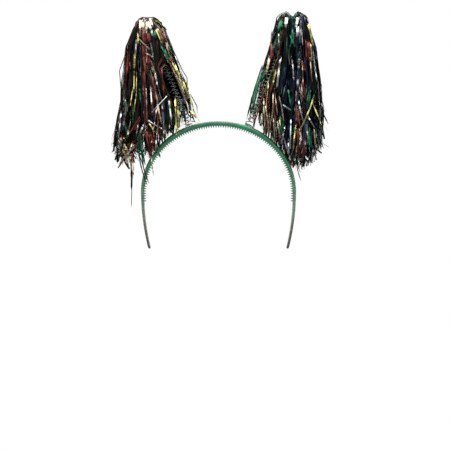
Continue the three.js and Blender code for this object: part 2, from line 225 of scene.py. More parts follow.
RIGHT_STRANDS = strands(
    # Crest
    ("silver", 1, 1.5, 2, (69, 112.5), (68, 101)),
    ("silver", 1, 1.4, -2, (80, 113), (78, 101)),
    ("mint", 1, 1.0, 4, (82.6, 105), (82.2, 98)),
    ("silver", 1, 1.2, 0, (79.3, 97), (79, 93)),
    ("green", 3, 0.9, -21, (64, 108), (61.5, 96)),
    ("green", 1, 0.9, 4, (73.5, 109), (73, 102)),
    ("mint", 1, 0.6, 6, (76, 108), (75.5, 102)),
    ("gold", 1, 1.1, 22, (89.5, 100), (92, 92), (93.5, 84)),
    # Upper half
    ("red", 3, 0.7, 13, (89, 84), (89.5, 68)),
    ("copper", 1, 0.6, 22, (93, 81), (93.5, 68)),
    ("red", 2, 0.65, -22, (53.5, 78), (53, 66)),
    ("blue", 1, 0.9, -24, (58, 81), (59, 73)),
    ("green", 1, 0.8, 20, (73.5, 88), (75.5, 82)),
    ("mint", 1, 0.45, -25, (61, 89), (61, 82)),
    ("copper", 1, 0.5, -25, (53, 89), (52.5, 83)),
    ("gold", 1, 0.65, 25, (70, 73), (71.5, 64)),
    ("silver", 1, 1.0, -27, (61, 63), (58, 43)),
    ("silver", 1, 0.65, 27, (74, 64), (75.5, 48)),
    ("copper", 1, 1.05, -26, (50, 64), (48, 54)),
    ("red", 2, 0.65, 22, (86, 62), (88, 56)),
    ("red", 2, 0.65, 20, (85, 41), (87, 29)),
    # Inner edge
    ("green", 3, 0.8, -26, (43.5, 52), (37.5, 34), (31.5, 14)),
    ("mint", 2, 0.65, -27, (40.5, 41), (34.5, 17)),
    ("red", 2, 0.6, -22, (44, 41), (43.5, 26)),
    ("copper", 1, 0.5, -26, (50, 38), (48.5, 16)),
    ("copper", 1, 0.45, -25, (54, 26), (52.5, 4)),
    ("copper", 1, 0.6, -26, (46, 21), (46.5, 7)),
    ("copper", 1, 0.45, -24, (57, 31), (58.5, 14)),
    ("copper", 1, 0.5, -26, (47.5, 16), (49.5, -2)),
    # Lower half
    ("copper", 1, 0.5, -10, (61.5, 26), (65, 8)),
    ("green", 2, 0.75, -25, (71.5, 31), (75, 14)),
    ("mint", 1, 0.6, 10, (67, 19), (70, 17)),
    ("copper", 1, 0.5, 24, (78, 20), (79, 8)),
    ("silver", 1, 0.65, 27, (82, 20), (84.5, 6)),
    ("gold", 1, 0.65, 24, (96.5, 30), (92.5, 18), (85, 1)),
    ("gold", 1, 0.65, 26, (95, 21), (99.5, 7)),
    ("silver", 1, 0.75, 26, (93, 4), (95.5, 0)),
    ("green", 2, 0.75, -24, (63, 5), (64, -6)),
    ("mint", 1, 0.65, -20, (60, -2), (61, -7)),
    ("gold", 1, 0.6, -26, (60.5, 6), (61, 0)),
    ("silver", 1, 1.05, -26, (64.5, -8), (63.5, -18)),
    ("silver", 1, 0.65, -24, (67, -16), (68, -20)),
    ("red", 1, 0.75, -26, (60.5, -9), (60.5, -20)),
    ("mint", 1, 0.6, -22, (72, 1), (71.5, -15)),
    ("gold", 1, 0.65, 22, (76.5, -5), (75.5, -15)),
    ("green", 1, 0.8, 20, (90, -9), (91, -18)),
    ("gold", 1, 0.65, 26, (95.5, -6), (96, -16)),
    ("red", 2, 0.75, 24, (84.5, -16), (86, -28)),
    ("red", 2, 0.5, 25, (78, 14), (81, -4)),
    ("copper", 1, 0.5, 25, (82.5, -7), (83.5, -22)),
    ("red", 1, 0.45, -25, (48, 22), (47.5, -4)),
    ("red", 1, 0.45, -24, (55, 18), (56, -10)),
    ("copper", 1, 0.4, -26, (51, 10), (52.5, -8)),
    ("copper", 2, 0.6, 26, (81, -11), (80, -24)),
    # Hem
    ("blue", 1, 0.9, 25, (94, -21), (95, -30)),
    ("blue", 1, 0.65, 26, (101, -9), (102.5, -18)),
    ("copper", 1, 0.6, 26, (99.5, -20), (99.5, -25)),
    ("ink", 1, 0.4, 0, (78, -33), (80.5, -46), (83.5, -56)),
    ("ink", 1, 0.6, 0, (101, 19), (106, 9)),
    ("ink", 1, 0.6, 0, (99.5, -1), (106, -11)),
    ("ink", 1, 0.6, 0, (100, -12), (105, -23)),
    # Here and there on the front
    ("red", 2, 0.7, 22, (78.5, 19), (79.5, 4)),
    ("red", 2, 0.7, 20, (80, -8), (81, -24)),
    ("red", 2, 0.65, 24, (85, -14), (86, -27)),
    ("green", 2, 0.7, -18, (74.5, 94), (73.5, 84)),
    ("green", 2, 0.6, 24, (91.5, 35), (90, 24)),
    ("green", 2, 0.7, 22, (92, -4), (91.5, -22)),
    ("copper", 1, 0.5, 25, (92, 66), (94, 46)),
    ("copper", 1, 0.7, 22, (81.5, -17), (82, -25)),
    ("copper", 2, 0.5, -24, (56, 2), (57.5, -14)),
    ("silver", 1, 0.6, -22, (70.5, -22), (71, -30)),
)

# The pompoms. Tie is x and y of the head. Strips cross the crest on two humps beside it, with a notch
# between them, all raised by lift. Parting is the levels between which the spring shows, and how far strips
# keep beside it. Tone is the most that chance adds at the crest and at the end, and the painted end light
# adds to the end: painted shade towards the crest and painted light towards the end.
LEFT = SimpleNamespace(
    name="left",
    side=-1,
    tie=(-69, -12),
    seed=11,
    humps=(-3, 3),
    notch=0.5,
    lift=-1.0,
    parting=(-6, 52, 7.2),
    tone=(0.5, 1.3),
    painted_end_light=1.0,
    rows=[
        Row(105, 64, 74, -17, -7),
        Row(102.5, 59, 79, -22, -2),
        Row(95, 54, 84, -28, 4),
        Row(77, 46.5, 91, -34, 9),
        Row(50, 37, 94, -39, 14),
        Row(18, 23, 97, -43, 18),
        Row(-12, 20, 103, -46, 20),
        Row(-45, 22, 104, -46, 20),
    ],
    hem=[Hem(61, -32), Hem(70, -35), Hem(75, -29), Hem(83, -29), Hem(87, -38), Hem(97, -38), Hem(104, -29)],
    zones=[
        Zone(0.08, "ink ink ink ink copper green"),
        Zone(0.24, "ink ink ink copper copper red"),
        Zone(0.32, "ink ink silver copper copper green"),
        Zone(0.46, "red ink ink ink ink copper"),
        Zone(0.56, "ink ink red silver copper copper"),
        Zone(0.68, "red ink ink ink green copper"),
        Zone(0.90, "ink ink ink ink copper blue green red"),
        Zone(1.01, "gold ink ink silver copper"),
    ],
    strands=LEFT_STRANDS,
)
RIGHT = SimpleNamespace(
    name="right",
    side=1,
    tie=(74.5, 16),
    seed=23,
    humps=(-5.5, 5.5),
    notch=4.5,
    lift=1.4,
    parting=(-6, 66, 2.2),
    tone=(0.1, 1.0),
    painted_end_light=0.75,
    rows=[
        Row(113, 70, 80, 11, 21),
        Row(109.5, 63, 87, 4, 28),
        Row(99, 57, 93, -2, 34),
        Row(80, 51, 98, -8, 39),
        Row(50, 42, 102.5, -13, 44),
        Row(18, 31, 106, -16, 47),
        Row(-12, 26, 106, -18, 49),
        Row(-45, 28, 99, -16, 48),
    ],
    hem=[Hem(72.5, -40), Hem(85, -44), Hem(95, -38), Hem(106, -16)],
    zones=[
        Zone(0.10, "green ink ink mint copper"),
        Zone(0.26, "copper red red ink ink ink gold green"),
        Zone(0.38, "ink ink ink ink silver green red"),
        Zone(0.66, "ink ink ink ink ink ink blue blue green green"),
        Zone(0.78, "ink ink ink copper silver"),
        Zone(0.90, "ink ink ink blue silver ink"),
        Zone(1.01, "ink ink ink silver green blue"),
    ],
    strands=RIGHT_STRANDS,
)
# Foils at the back, where the sine of a strip's angle is over BACK_FROM, and of the inmost layer.
BACK_FOILS = "ink ink ink ink ink silver red red red green green gold copper copper mint blue"
BACK_FROM = 0.25
INNER_FOILS = "ink ink ink ink red copper"

# Layers of strips: how many, and how far out in the outline they lie.
Layer = namedtuple("Layer", "count fill_from fill_to")
LAYERS = [Layer(460, 0.92, 1.02), Layer(280, 0.68, 0.92), Layer(130, 0.35, 0.68)]

# A strip of film. Pairs run from the crest to the end, or from the least to the most. Angles are in radians.
# Odds are shapes of beta distributions.
STRIP = SimpleNamespace(
    # Size, and shares of the width left at the end
    rings=36,
    half_thickness=0.06,
    half_width=(0.45, 1.2),
    longest=190,
    step=1.0,
    fewest_steps=20,
    end_widths=(0.15, 0.4, 0.9),
    cut_from=0.84,
    sharp_degrees=40,
    # Crest: the lap is tucked in beyond it, and inner strips lie lower
    lap=9,
    tuck=3,
    sink=14,
    sink_fade=35,
    hump_fade=16,
    hump_spread=(1.2, 1.8),  # in x and in y
    notch_half=3.2,
    crest_spread=0.5,
    core=18,  # depth below the crest of the place that strips face away from
    # Locks: strips are drawn towards the nearest one, and some share its foil
    locks=40,
    lock_jitter=0.35,
    jitter=0.5,
    gather=0.6,
    gather_over=(15, 120),
    kinship=0.25,
    drift=0.18,
    tone_odds=(1, 1.6),
    # Waves and creases, straight between places some way apart
    spare=1.4,  # more places than the mean gap asks for
    wave_gap=(14, 42),
    wave=(0.4, 3.8),
    wave_growth=1.5,
    wave_inset=0.9,
    crease_gap=(3, 12),
    crease=(0.08, 0.28),
    twist=(0.5, 0.8),
    twist_over=(2, 70),
    lean=0.4,
    # Ends: ragged, some straying, free ones flared, and those near the middle shorter
    ragged=17,
    ragged_odds=(1, 2),
    stray_share=0.05,
    stray=(4, 11),
    stray_out=0.3,
    flare=3.6,
    flare_over=(14, 34),
    thin_over=(0.4, 0.95),
    thin=50,
    # Space kept to the band and spring, and the stretches below and above where a parting closes
    clear=0.5,
    parting_fade=(12, 14),
    lowest=-100,  # level below every hem
    fall_step=0.5,
)
# A strip that stands out lies proud of the others, with its ends tucked under them over lead and trail.
STRAND = SimpleNamespace(
    proud=1.8,
    spread=0.9,
    tucked=-3.6,
    lead=9,
    trail=8,
    turn=0.9,
    twist=0.12,
    crease=0.16,
    wave=0.7,
    apart=2.2,  # between strips of a strand, in half widths
    end=5,  # most by which the ends of its strips differ
    start_width=0.5,
    start_over=(0, 0.1),
    edge=0.92,  # furthest out on the front, as a share of its half breadth
    rounds=8,
    smooth=4,  # points on each side that a depth is averaged over
    crest=7,  # a strip that starts nearer the crest than this comes over from the back
    over=[(16, -11.5), (10, -4.5), (4, -0.8)],  # behind the tie, and below its first place
    tone=(0.5, 1.0),
)
# Shares of the way along a strip, one for each ring.
ALONG = np.linspace(0, 1, STRIP.rings)
Strip = namedtuple("Strip", "foil points facing half_widths tones")

# Foils from the darkest strip to the lightest, with the least and most roughness. A strip's tone with noise
# added to it goes from dark to light over TONE_RANGE.
TONE_RANGE = (0.45, 1.45)
Foil = namedtuple("Foil", "dark light rough")
FOILS = {
    "ink": Foil((0.010, 0.0095, 0.008), (0.017, 0.0175, 0.0155), (0.40, 0.60)),
    "red": Foil((0.055, 0.020, 0.018), (0.130, 0.034, 0.029), (0.24, 0.44)),
    "green": Foil((0.010, 0.045, 0.030), (0.022, 0.125, 0.070), (0.22, 0.42)),
    # The mint foil is silver with a painted reflection of the green strips beside it in its colour.
    "mint": Foil((0.09, 0.14, 0.11), (0.36, 0.48, 0.42), (0.16, 0.34)),
    "gold": Foil((0.13, 0.125, 0.05), (0.46, 0.44, 0.15), (0.18, 0.36)),
    "copper": Foil((0.085, 0.070, 0.053), (0.46, 0.37, 0.26), (0.16, 0.36)),
    "silver": Foil((0.06, 0.063, 0.063), (0.50, 0.515, 0.51), (0.14, 0.32)),
    "blue": Foil((0.007, 0.009, 0.016), (0.018, 0.024, 0.052), (0.24, 0.44)),
}


def smoothstep(value, low, high):
    share = np.clip((np.asarray(value, float) - low) / (high - low), 0, 1)
    return share * share * (3 - 2 * share)


def blend(first, second, share):
    return first + (second - first) * share


def unit(vectors):
    return vectors / np.maximum(np.linalg.norm(vectors, axis=-1, keepdims=True), 1e-9)


def lengths_along(points):
    """Distances of points from the first one, along the line that they make."""
    return np.concatenate([[0], np.cumsum(np.linalg.norm(np.diff(points, axis=0), axis=1))])


def points_along(points, lengths, at):
    """Points at distances along a line."""
    return np.stack([np.interp(at, lengths, axis) for axis in np.asarray(points).T], 1)


def ringed(line):
    """Points of a line taken evenly, one for each ring of a strip."""
    lengths = lengths_along(line)
    return points_along(line, lengths, ALONG * lengths[-1])


def smoothed(values, reach):
    """Running means of values, each over its neighbours within reach."""
    padded = np.pad(values, reach, mode="edge")
    return np.convolve(padded, np.full(2 * reach + 1, 1 / (2 * reach + 1)), "valid")


# Meshes

def loft_faces(rings, sides):
    """Faces of a closed loft: four-sided walls between rings, and a face at each end."""
    first = np.arange(rings - 1)[:, None] * sides
    side = np.arange(sides)[None, :]
    after = (side + 1) % sides
    walls = np.stack([first + side, first + after, first + after + sides, first + side + sides], -1)
    last = (rings - 1) * sides
    return walls.reshape(-1, 4).tolist() + [list(range(sides))[::-1], list(range(last, last + sides))]


def new_mesh(name, points, faces):
    mesh = bpy.data.meshes.new(name)
    mesh.from_pydata((np.asarray(points).reshape(-1, 3) * MM).tolist(), [], faces)
    mesh.validate()
    return mesh


def add_object(name, data):
    added = bpy.data.objects.new(name, data)
    bpy.context.scene.collection.objects.link(added)
    return added


def add_piece(name, mesh, material, node):
    """Puts a mesh in the scene as a piece that stands for a node of the part."""
    piece = add_object(name, mesh)
    mesh.materials.append(material)
    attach(piece, "root")
    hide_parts(node)


# Materials

def new_material(name):
    material = bpy.data.materials.new(name)
    material.use_nodes = True
    return material, material.node_tree, material.node_tree.nodes["Principled BSDF"]


def feed(tree, node, inputs):
    """Sets a node's inputs to values or links them to other nodes, and returns the node's outputs."""
    for name, value in inputs.items():
        if isinstance(value, bpy.types.NodeSocket):
            tree.links.new(value, node.inputs[name])
        else:
            node.inputs[name].default_value = value
    return node.outputs


def add_node(tree, kind, inputs):
    return feed(tree, tree.nodes.new(kind), inputs)


def own_place(tree):
    return add_node(tree, "ShaderNodeTexCoord", {})["Object"]


def noise(tree, scale, detail):
    """Noise in the part's own frame. Scale is in features per metre."""
    inputs = {"Vector": own_place(tree), "Scale": scale, "Detail": detail}
    return add_node(tree, "ShaderNodeTexNoise", inputs)["Fac"]


def ramp(tree, value, dark, light, low=0.3, high=0.7):
    """Colour that runs from dark to light as value goes from low to high."""
    node = tree.nodes.new("ShaderNodeValToRGB")
    ends = node.color_ramp.elements
    ends[0].position, ends[1].position = low, high
    ends[0].color, ends[1].color = (*dark, 1), (*light, 1)
    return feed(tree, node, {"Fac": value})["Color"]


def spread(tree, value, least, most, low=0.3, high=0.7):
    """Number that runs from least to most as value goes from low to high."""
    ends = {"From Min": low, "From Max": high, "To Min": least, "To Max": most}
    return add_node(tree, "ShaderNodeMapRange", {"Value": value, **ends})["Result"]


def bump(tree, height, depth, strength):
    inputs = {"Height": height, "Distance": depth * MM, "Strength": strength}
    return add_node(tree, "ShaderNodeBump", inputs)["Normal"]


def level(tree, low, high):
    """Share that runs from 0 to 1 between two levels in millimetres."""
    axes = add_node(tree, "ShaderNodeSeparateXYZ", {"Vector": own_place(tree)})
    return spread(tree, axes["Z"], 0, 1, low * MM, high * MM)


def mixed(tree, share, first, second):
    """Colour that goes from the first to the second with share."""
    return add_node(tree, "ShaderNodeMixRGB", {"Fac": share, "Color1": first, "Color2": second})["Color"]


def foil_material(name, foil):
    """Metallised film: each strip has its own tone, which also carries painted shade towards the crest and
    painted light towards the end, with soft creases and uneven gloss.
    """
    material, tree, shader = new_material("foil_" + name)
    strip_tone = tree.nodes.new("ShaderNodeAttribute")
    strip_tone.attribute_name = "tone"
    total = tree.nodes.new("ShaderNodeMath")
    total.operation = "ADD"
    uneven = feed(tree, total, {0: strip_tone.outputs["Fac"], 1: noise(tree, 160, 2)})["Value"]
    feed(tree, shader, {
        "Base Color": ramp(tree, uneven, foil.dark, foil.light, *TONE_RANGE),
        "Roughness": spread(tree, noise(tree, 260, 2), *foil.rough),
        "Normal": bump(tree, noise(tree, 420, 2), 0.25, 0.4),
        "Metallic": 1.0,
    })
    return material


def plastic_material():
    """Glossy moulded green plastic, with a painted sheen that makes the top of the crown paler, and painted
    shade that makes the legs greyer and the tips dark.
    """
    material, tree, shader = new_material("green_plastic")
    fresh = ramp(tree, noise(tree, 60, 4), (0.009, 0.215, 0.088), (0.026, 0.335, 0.150))
    # Painted sheen: a paler green on top of the crown that stands in for a highlight.
    painted_crown_sheen = ramp(tree, noise(tree, 90, 4), (0.13, 0.26, 0.17), (0.21, 0.36, 0.25))
    # Painted shade from the head: greyer down the legs and darkest at the tips.
    painted_leg_shade = ramp(tree, noise(tree, 90, 4), (0.11, 0.14, 0.11), (0.21, 0.24, 0.20))
    painted_tip_shade = ramp(tree, noise(tree, 90, 4), (0.045, 0.047, 0.036), (0.085, 0.088, 0.070))
    arch = mixed(tree, level(tree, 1.2, 4.2), fresh, painted_crown_sheen)
    legs = mixed(tree, level(tree, -106, -90), painted_tip_shade, painted_leg_shade)
    feed(tree, shader, {
        "Base Color": mixed(tree, level(tree, -102, -38), legs, arch),
        "Roughness": spread(tree, noise(tree, 400, 4), 0.18, 0.36),
        "Normal": bump(tree, noise(tree, 500, 4), 0.12, 0.4),
        "IOR": 1.55,
        "Coat Weight": 0.8,
        "Coat Roughness": 0.2,
    })
    return material


def wire_material():
    """Bright drawn wire, with painted shade that darkens it near the band."""
    material, tree, shader = new_material("spring_wire")
    bright = ramp(tree, noise(tree, 500, 3), (0.76, 0.77, 0.77), (0.95, 0.96, 0.96))
    # Painted shade: darker wire near the band.
    painted_foot_shade = ramp(tree, noise(tree, 500, 3), (0.10, 0.12, 0.11), (0.34, 0.37, 0.35))
    feed(tree, shader, {
        "Base Color": mixed(tree, level(tree, 10, 24), painted_foot_shade, bright),
        "Roughness": spread(tree, noise(tree, 900, 3), 0.20, 0.38),
        "Metallic": 0.3,
    })
    return material


# Headband

def band_line():
    """Points of the band's middle line from the left tip to the right, and their distances along it."""
    half = BAND.thickness / 2
    a = BAND.half_width - half
    b = BAND.rise - half
    shoulder = half - b
    radius = (BAND.leg_drop ** 2 + BAND.leg_tuck ** 2) / (2 * BAND.leg_tuck)
    leg = np.linspace(math.asin(BAND.leg_drop / radius), 0, BAND.leg_steps)
    arch = np.linspace(math.pi, 0, BAND.arch_steps)[1:-1]
    left = np.stack([radius - a - radius * np.cos(leg), shoulder - radius * np.sin(leg)], 1)
    top = np.stack([a * np.cos(arch), shoulder + b * np.sin(arch)], 1)
    line = np.concatenate([left, top, left[::-1] * (-1, 1)])
    return line, lengths_along(line)


LINE, LINE_AT = band_line()


def band_top(x):
    """Level of the band's outer face at a distance from the middle."""
    share = np.minimum(np.abs(x) / BAND.half_width, 1)
    return BAND.thickness - BAND.rise * (1 - np.sqrt(1 - share**2))


def band_stations():
    """Distances along the band with the share of a tooth's length there, and the scale of the section."""
    length = LINE_AT[-1]
    plain = np.arange(BAND.plain_from, TOOTH.bare_leg - 1, BAND.plain_step)
    stations = [(at, 0, scale) for at, scale in TIP_ROUNDING] + [(at, 0, 1) for at in plain]
    spaces = int((length - 2 * TOOTH.bare_leg) / TOOTH.pitch)
    for at in (length - spaces * TOOTH.pitch) / 2 + TOOTH.pitch * np.arange(spaces + 1):
        stations += [(at - TOOTH.foot / 2, 0, 1), (at - TOOTH.tip / 2, 1, 1)]
        stations += [(at + TOOTH.tip / 2, 1, 1), (at + TOOTH.foot / 2, 0, 1)]
    stations += [(length - at, 0, 1) for at in plain[::-1]]
    stations += [(length - at, 0, scale) for at, scale in TIP_ROUNDING[::-1]]
    return np.array(stations)


def rounded(values):
    """Shares across an ellipse moved out to the band's own, boxier section."""
    return np.sign(values) * np.abs(values) ** BAND.edge_power


def band_section():
    """Places around the section as shares of its half width and half thickness, and which carry teeth."""
    angles = np.linspace(0, math.pi, BAND.half_turn_sides + 1)[:-1]
    outer = np.stack([rounded(np.cos(angles)), rounded(np.sin(angles))], 1)
    tooth = TOOTH.across / BAND.width
    flat = TOOTH.flat * tooth
    edge = np.sort(rounded(np.cos(angles[angles < math.pi / 4])))
    inner = np.concatenate([-edge[::-1], [-tooth, -flat, 0, flat, tooth], edge[:-1]])
    power = BAND.edge_power
    under = -((1 - np.abs(inner) ** (2 / power)) ** (power / 2))
    places = np.concatenate([outer, np.stack([inner, under], 1)])
    carries = (np.abs(places[:, 0]) < tooth) & (places[:, 1] < 0)
    return places, carries


def add_headband():
    """The band with its comb teeth, as one closed skin."""
    at, tooth, scale = band_stations().T
    middle = points_along(LINE, LINE_AT, at)
    reach = BAND.slope_reach
    along = unit(points_along(LINE, LINE_AT, at + reach) - points_along(LINE, LINE_AT, at - reach))
    out = np.stack([-along[:, 1], along[:, 0]], 1)
    full = smoothstep(np.minimum(at, LINE_AT[-1] - at), 0, BAND.taper)
    half_thickness = blend(BAND.tip_thickness, BAND.thickness, full) * scale / 2
    half_width = blend(BAND.tip_width, BAND.width, full) * scale / 2
    places, carries = band_section()
    rise = half_thickness[:, None] * places[None, :, 1] - TOOTH.length * tooth[:, None] * carries
    points = np.empty((len(at), len(places), 3))
    points[..., 0] = middle[:, None, 0] + out[:, None, 0] * rise
    points[..., 1] = half_width[:, None] * places[None, :, 0]
    points[..., 2] = middle[:, None, 1] + out[:, None, 1] * rise
    mesh = new_mesh("headband_skin", points, loft_faces(len(at), len(places)))
    mesh.shade_smooth()
    mesh.set_sharp_from_angle(angle=math.radians(BAND.sharp_degrees))
    add_piece("headband_skin", mesh, plastic_material(), "headband")


# Springs

def head_middle(pompom):
    """Middle of a pompom's head, where its strips are tied."""
    return np.array([*pompom.tie, crest_level(pompom) - HEAD.radius])


def spring_stand(pompom):
    """Foot, direction and length of a spring, from the band to the head of its pompom."""
    foot_x = pompom.side * SPRING.foot_x
    foot = np.array([foot_x, 0, band_top(foot_x)])
    axis = head_middle(pompom) - foot
    length = np.linalg.norm(axis)
    return foot, axis / length, length - HEAD.radius - SPRING.gap


def square_to(axis):
    """Directions to the side and to the back, square to an axis."""
    sideways = unit(np.cross((0, 1, 0), axis))
    return sideways, np.cross(axis, sideways)


def tube(points, radius, sides):
    """Round wire along points, its section carried along without twisting."""
    points = np.asarray(points)
    along = unit(np.gradient(points, axis=0))
    across = np.array([0.0, 1.0, 0.0])
    angles = 2 * math.pi * np.arange(sides) / sides
    rings = []
    for point, way in zip(points, along):
        across = unit(across - way * across.dot(way))
        up = np.cross(way, across)
        rings.append(point + radius * (np.outer(np.cos(angles), across) + np.outer(np.sin(angles), up)))
    return np.array(rings)


def add_spring(pompom, material):
    """Coil: a straight leg in the band, one flat turn on it, then even turns up to the head."""
    foot, axis, length = spring_stand(pompom)
    sideways, backward = square_to(axis)
    seat = SPRING.wire + SPRING.gap
    turns = SPRING.turns
    pitch = (length - seat - SPRING.wire) / (turns - 1)
    turn = np.arange(1, turns * SPRING.steps + 1) / SPRING.steps
    opened = smoothstep(turn, 0, SPRING.opening)
    closed = smoothstep(turn, turns - SPRING.closing, turns)
    narrowed = smoothstep(turn, 1, 1 + SPRING.narrowing)
    radius = blend(SPRING.foot, SPRING.coil, narrowed) * (opened - closed)
    height = seat + pitch * np.maximum(turn - 1, 0)
    angle = pompom.side * 2 * math.pi * turn
    coil = foot + np.outer(height, axis)
    coil += np.outer(radius * np.cos(angle), sideways) + np.outer(radius * np.sin(angle), backward)
    leg = [foot - SPRING.leg * axis, foot + (seat - SPRING.wire) * axis]
    rings = tube(np.concatenate([leg, coil]), SPRING.wire, SPRING.sides)
    mesh = new_mesh("spring_wire_" + pompom.name, rings, loft_faces(len(rings), SPRING.sides))
    mesh.shade_smooth()
    add_piece(mesh.name, mesh, material, "spring_" + pompom.name)


# Pompoms

def crest_level(pompom):
    return pompom.rows[0].level + HEAD.crown


def outline(pompom, levels):
    """Middle and half sizes of a pompom's outline at levels, closed at the crest."""
    tie_x, tie_y = pompom.tie
    crest = Row(crest_level(pompom), abs(tie_x), abs(tie_x), tie_y, tie_y)
    at, inner, outer, front, back = np.array([crest, *pompom.rows])[::-1].T
    reach = [np.interp(levels, at, column) for column in (inner, outer, front, back)]
    middle_x = pompom.side * (reach[0] + reach[1]) / 2
    return middle_x, (reach[2] + reach[3]) / 2, (reach[1] - reach[0]) / 2, (reach[3] - reach[2]) / 2


def fall(pompom, way):
    """Levels at distances along a strip from the crest."""
    levels = np.arange(crest_level(pompom), STRIP.lowest, -STRIP.fall_step)
    _, _, half_x, half_y = outline(pompom, levels)
    return np.interp(way, lengths_along(np.stack([levels, (half_x + half_y) / 2], 1)), levels)


def hangs(pompom, x):
    """Whether strips hang free at a distance from the middle of the headband."""
    return np.abs(x) > pompom.hem[0].reach


def hem_level(pompom, x):
    """Level where strips end: at the band near the middle of the headband, lower further out."""
    hem = pompom.hem
    hanging = np.interp(np.abs(x), [row.reach for row in hem], [row.level for row in hem])
    return np.where(hangs(pompom, x), hanging, band_top(x) + STRIP.clear)


def beside_spring(pompom, points):
    """Keeps strips clear of the spring, and parts those in front of the stretch of it that shows."""
    foot, axis, length = spring_stand(pompom)
    height = (points - foot) @ axis
    on_axis = foot + np.outer(np.clip(height, 0, length), axis)
    low, high, width = pompom.parting
    below, above = STRIP.parting_fade
    shown = smoothstep(points[:, 2], low - below, low) - smoothstep(points[:, 2], high, high + above)
    offset = points[:, 0] - on_axis[:, 0]
    in_front = points[:, 1] < on_axis[:, 1]
    side = np.sign(np.mean(offset[shown > 0])) if np.any(shown > 0) else 1
    parted = blend(points[:, 0], on_axis[:, 0] + side * width, shown)
    pushed = np.where(in_front & (side * offset < width), parted, points[:, 0])
    points = np.stack([pushed, points[:, 1], points[:, 2]], 1)
    away = points - on_axis
    distance = np.linalg.norm(away, axis=1)
    keep = SPRING.coil + SPRING.wire + STRIP.clear
    inside = (distance < keep) & (height < length)
    return np.where(inside[:, None], on_axis + unit(away) * keep, points)


def broken_line(rng, way, gap):
    """Line of random height along a strip, straight between places that lie gap apart."""
    count = 2 + int(2 * np.ptp(way) / sum(gap) * STRIP.spare)
    places = way[0] + np.cumsum(rng.uniform(*gap, count)) - gap[1]
    return np.interp(way, places, rng.normal(0, 1, len(places)))


def flared(pompom, points, rng):
    """Bends the end of a strip that hangs free, so that it points its own way."""
    lengths = lengths_along(points)
    bent = np.clip(1 - (lengths[-1] - lengths) / rng.uniform(*STRIP.flare_over), 0, 1) ** 2
    aside = rng.normal(0, STRIP.flare, 3) * hangs(pompom, points[-1, 0])
    return points + np.outer(bent, (aside[0], aside[1], abs(aside[2])))


def strip_waves(way, stray, rng):
    """How far a strip swings sideways and outwards along its way."""
    grown = np.clip(way / STRIP.longest, 0, 1)
    wave = blend(*STRIP.wave, grown ** STRIP.wave_growth)
    sideways = wave * broken_line(rng, way, STRIP.wave_gap)
    outward = wave * (broken_line(rng, way, STRIP.wave_gap) - STRIP.wave_inset)
    return sideways, outward + STRIP.stray_out * stray * grown


def strip_path(pompom, way, turn, fill, stray, rng):
    """Points along a strip on its way over the crest and down, as if the spring weren't there."""
    surface = fall(pompom, np.abs(way))
    middle_x, middle_y, half_x, half_y = outline(pompom, surface)
    out_x, out_y = pompom.side * np.cos(turn), np.sin(turn)
    sideways, outward = strip_waves(way, stray, rng)
    over = np.where(way < 0, -1, 1) * fill
    hump = np.exp(-((way / STRIP.hump_fade) ** 2))
    hump_x = rng.choice(pompom.humps) + rng.normal(0, STRIP.hump_spread[0])
    x = middle_x + (over * half_x + outward) * out_x - sideways * out_y + hump * hump_x
    y = middle_y + (over * half_y + outward) * out_y + sideways * out_x
    y = y + hump * rng.normal(0, STRIP.hump_spread[1])
    sink = (1 - fill) * STRIP.sink * np.exp(-np.abs(way) / STRIP.sink_fade)
    notch = pompom.notch * np.exp(-(((x - pompom.tie[0]) / STRIP.notch_half) ** 2))
    lift = pompom.lift + STRIP.crest_spread * rng.normal() - notch
    z = surface - sink - STRIP.tuck * np.clip(-way / STRIP.lap, 0, 1) + hump * lift
    return np.stack([x, y, z], 1)


def cut_off(pompom, points, turn, stray, rng):
    """A strip's points down to its end, at the hem or just above the band."""
    x, y, z = points.T
    inner = smoothstep(-np.cos(turn), *STRIP.thin_over)
    ragged = STRIP.ragged * rng.beta(*STRIP.ragged_odds)
    end = hem_level(pompom, x) + ragged - stray * hangs(pompom, x)
    end = end + STRIP.thin * rng.random() * inner
    over_band = (np.abs(y) < BAND.width / 2 + STRIP.clear) & (np.abs(x) < BAND.half_width)
    stopped = (z < end) | (over_band & (z < band_top(x) + STRIP.clear))
    last = np.argmax(stopped) if stopped.any() else len(points) - 1
    return points[: max(last, STRIP.fewest_steps) + 1]


def strip_line(pompom, angle, lock_angle, fill, rng):
    """Points of one strip, from beyond the crest over it and down to its end."""
    way = np.arange(-STRIP.lap, STRIP.longest, STRIP.step)
    gathered = STRIP.gather * smoothstep(way, *STRIP.gather_over)
    drift = STRIP.drift * rng.normal() * np.clip(way / STRIP.longest, 0, 1)
    turn = blend(angle, lock_angle, gathered) + drift
    stray = rng.uniform(*STRIP.stray) if rng.random() < STRIP.stray_share else 0
    points = beside_spring(pompom, strip_path(pompom, way, turn, fill, stray, rng))
    return flared(pompom, ringed(cut_off(pompom, points, turn, stray, rng)), rng)


def turned(facing, along, angle):
    """Facings turned by an angle about the strip's own direction."""
    across = np.cross(along, facing)
    return facing * np.cos(angle)[:, None] + across * np.sin(angle)[:, None]


def across_strip(facing, along):
    """Facings made square to the strip's direction."""
    return unit(facing - along * np.sum(facing * along, 1, keepdims=True))


